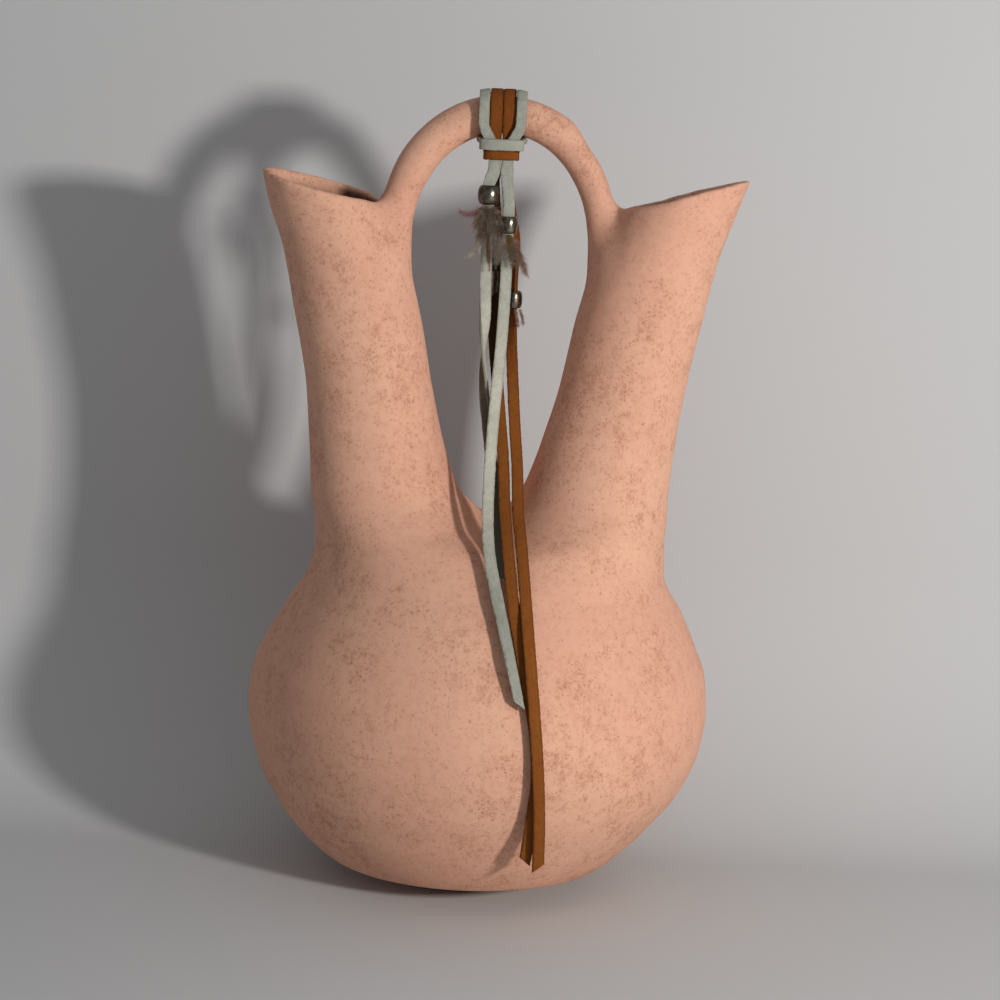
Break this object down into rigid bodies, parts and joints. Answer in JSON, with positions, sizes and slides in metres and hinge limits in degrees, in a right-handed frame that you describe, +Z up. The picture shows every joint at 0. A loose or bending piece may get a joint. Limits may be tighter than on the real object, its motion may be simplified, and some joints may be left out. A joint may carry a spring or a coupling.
{
  "type": "double spout vase",
  "caption": "Round-bellied clay vase with paired flaring spouts, an arched stirrup handle between them, and knotted suede laces with metal beads and feather tufts.",
  "frame": {"origin": "centre of the flat base, on the surface the vase stands on", "axes": "+Z up, +X to the right seen from the front, -Y towards the front where the laces hang"},
  "size_m": [0.186, 0.1801, 0.3053],
  "materials": {
    "clay": "matte unglazed bisque with fine brown speckle",
    "sage_suede": "matte suede",
    "rust_suede": "matte suede",
    "bead_metal": "dull dark pewter",
    "feather": "soft down"
  },
  "bodies": {
    "vase": {"bowl": "clay", "left_spout": "clay", "right_spout": "clay", "stirrup_handle": "clay"},
    "laces": {"sage_hitch": "sage_suede", "rust_hitch": "rust_suede", "sage_left_tail": "sage_suede", "sage_right_tail": "sage_suede", "rust_left_tail": "rust_suede", "rust_right_tail": "rust_suede"},
    "sage_left_slider": {"sage_left_bead": "bead_metal", "sage_left_tuft": "feather"},
    "sage_right_slider": {"sage_right_bead": "bead_metal", "sage_right_tuft": "feather"},
    "rust_left_slider": {"rust_left_bead": "bead_metal", "rust_left_tuft": "feather"},
    "rust_right_slider": {"rust_right_bead": "bead_metal", "rust_right_tuft": "feather"}
  },
  "joints": [
    {"name": "hitch_roll", "type": "hinge", "parent": "vase", "child": "laces", "pos_m": [0.0006, 0, 0.29545], "axis": [-1, 0, 0], "range_deg": [0, 40]},
    {"name": "sage_left_bead_slide", "type": "slide", "parent": "laces", "child": "sage_left_slider", "axis": [0, 0, 1], "range_m": [-0.0025, 0]},
    {"name": "sage_right_bead_slide", "type": "slide", "parent": "laces", "child": "sage_right_slider", "axis": [0, 0, 1], "range_m": [-0.004, 0]},
    {"name": "rust_left_bead_slide", "type": "slide", "parent": "laces", "child": "rust_left_slider", "axis": [0, 0, 1], "range_m": [-0.002, 0.002]},
    {"name": "rust_right_bead_slide", "type": "slide", "parent": "laces", "child": "rust_right_slider", "axis": [0, 0, 1], "range_m": [-0.006, 0.004]}
  ]
}
